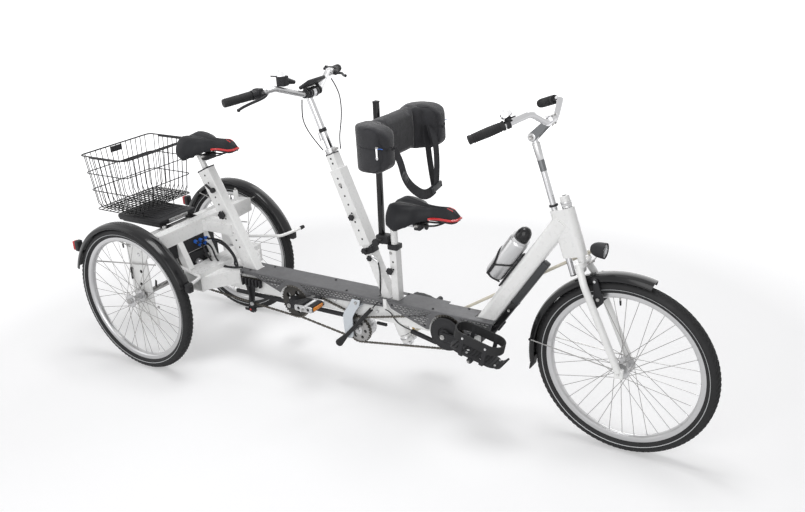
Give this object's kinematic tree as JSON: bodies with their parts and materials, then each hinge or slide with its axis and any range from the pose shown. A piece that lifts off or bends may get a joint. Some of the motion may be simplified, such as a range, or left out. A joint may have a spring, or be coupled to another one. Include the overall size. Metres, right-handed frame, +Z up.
{
  "type": "tandem therapy tricycle",
  "caption": "Tandem therapy tricycle: two riders in line, a steered front wheel, twin rear wheels, a back support and a wire basket.",
  "frame": {"origin": "on the floor under the middle of the whole tricycle's box", "axes": "+X forward, +Y to the left, +Z up"},
  "size_m": [2.8, 0.7812, 1.312],
  "materials": {
    "white_paint": "glossy white powder coat",
    "black_gloss": "glossy black",
    "black_plastic": "matt black",
    "grey_sheet": "fine textured dark grey",
    "silver": "satin",
    "chrome": "polished",
    "steel": "brushed",
    "tyre": "rubber tread",
    "rubber": "moulded rubber",
    "fabric": "woven nylon",
    "vinyl": "soft vinyl",
    "red_lens": "red lens",
    "beige_paint": "satin",
    "chain": "oiled steel"
  },
  "bodies": {
    "frame": {"main_frame": "white_paint", "mast_cable": "black_plastic", "chain_tensioner": "black_plastic", "front_bell": "black_plastic", "steering_mast": "white_paint", "front_seat_tube": "white_paint", "front_saddle_bar": "chrome", "backrest_post": "black_gloss", "backrest_cushion": "fabric", "rear_seat_tube": "white_paint", "rear_frame": "white_paint", "boom_gussets": "white_paint", "rear_axle": "steel", "battery_rack": "black_plastic", "basket": "black_gloss", "rear_mudguard_left": "black_gloss", "rear_mudguard_right": "black_gloss", "front_handlebar": "chrome", "front_grips": "rubber", "front_saddle": "vinyl", "rear_saddle": "vinyl", "footboard": "grey_sheet", "mid_drive": "steel", "front_chain": "chain", "middle_chain": "chain", "rear_chain": "chain", "tube_battery": "black_plastic", "bottle": "silver", "bottle_cage": "black_plastic", "rear_lights": "red_lens", "mudguard_hoops": "white_paint"},
    "fork": {"fork": "white_paint", "front_mudguard": "black_gloss", "rim_brakes": "black_plastic", "headlight": "black_plastic"},
    "front_wheel": {"front_tyre": "tyre", "front_rim": "silver"},
    "rear_wheel_left": {"rear_left_tyre": "tyre", "rear_left_rim": "silver"},
    "rear_wheel_right": {"rear_right_tyre": "tyre", "rear_right_rim": "silver"},
    "rear_steering": {"steering_column": "chrome", "rear_handlebar": "silver", "rear_grips": "rubber", "rear_controls": "black_plastic", "rear_bar_cables": "black_plastic"},
    "drag_link": {"drag_link": "beige_paint"},
    "front_cranks": {"front_crank_set": "black_plastic"},
    "rear_cranks": {"rear_crank_set": "black_plastic"},
    "front_pedal_right": {"front_pedal_right": "black_plastic"},
    "front_pedal_left": {"front_pedal_left": "black_plastic"},
    "rear_pedal_right": {"rear_pedal_right": "black_plastic"},
    "rear_pedal_left": {"rear_pedal_left": "black_plastic"}
  },
  "joints": [
    {"name": "fork_steer", "type": "hinge", "parent": "frame", "child": "fork", "pos_m": [0.906, 0, 0.717], "axis": [-0.2924, 0, 0.9563], "range_deg": [-35, 35]},
    {"name": "column_steer", "type": "hinge", "parent": "frame", "child": "rear_steering", "pos_m": [0.09, 0, 0.43], "axis": [-0.3697, 0, 0.9291], "range_deg": [-35, 35]},
    {"name": "drag_link_pivot", "type": "hinge", "parent": "fork", "child": "drag_link", "pos_m": [0.90661, 0.062, 0.715], "axis": [-0.2924, 0, 0.9563], "range_deg": [-35, 35]},
    {"name": "front_wheel_spin", "type": "hinge", "parent": "fork", "child": "front_wheel", "pos_m": [1.07, 0, 0.33], "axis": [0, 1, 0], "continuous": true},
    {"name": "rear_wheel_left_spin", "type": "hinge", "parent": "frame", "child": "rear_wheel_left", "pos_m": [-1.022, 0.342, 0.33], "axis": [0, 1, 0], "continuous": true},
    {"name": "rear_wheel_right_spin", "type": "hinge", "parent": "frame", "child": "rear_wheel_right", "pos_m": [-1.022, -0.342, 0.33], "axis": [0, 1, 0], "continuous": true},
    {"name": "front_crank_spin", "type": "hinge", "parent": "frame", "child": "front_cranks", "pos_m": [0.388, 0, 0.337], "axis": [0, 1, 0], "continuous": true},
    {"name": "rear_crank_spin", "type": "hinge", "parent": "frame", "child": "rear_cranks", "pos_m": [-0.362, 0, 0.32], "axis": [0, 1, 0], "continuous": true},
    {"name": "front_pedal_right_spin", "type": "hinge", "parent": "front_cranks", "child": "front_pedal_right", "pos_m": [0.55759, -0.148, 0.32514], "axis": [0, 1, 0], "continuous": true},
    {"name": "front_pedal_left_spin", "type": "hinge", "parent": "front_cranks", "child": "front_pedal_left", "pos_m": [0.21841, 0.148, 0.34886], "axis": [0, 1, 0], "continuous": true},
    {"name": "rear_pedal_right_spin", "type": "hinge", "parent": "rear_cranks", "child": "rear_pedal_right", "pos_m": [-0.20225, -0.148, 0.37814], "axis": [0, 1, 0], "continuous": true},
    {"name": "rear_pedal_left_spin", "type": "hinge", "parent": "rear_cranks", "child": "rear_pedal_left", "pos_m": [-0.52175, 0.148, 0.26186], "axis": [0, 1, 0], "continuous": true}
  ],
  "couplings": [
    {"joint": "column_steer", "follows": "fork_steer", "ratio": 1},
    {"joint": "drag_link_pivot", "follows": "fork_steer", "ratio": -1}
  ]
}
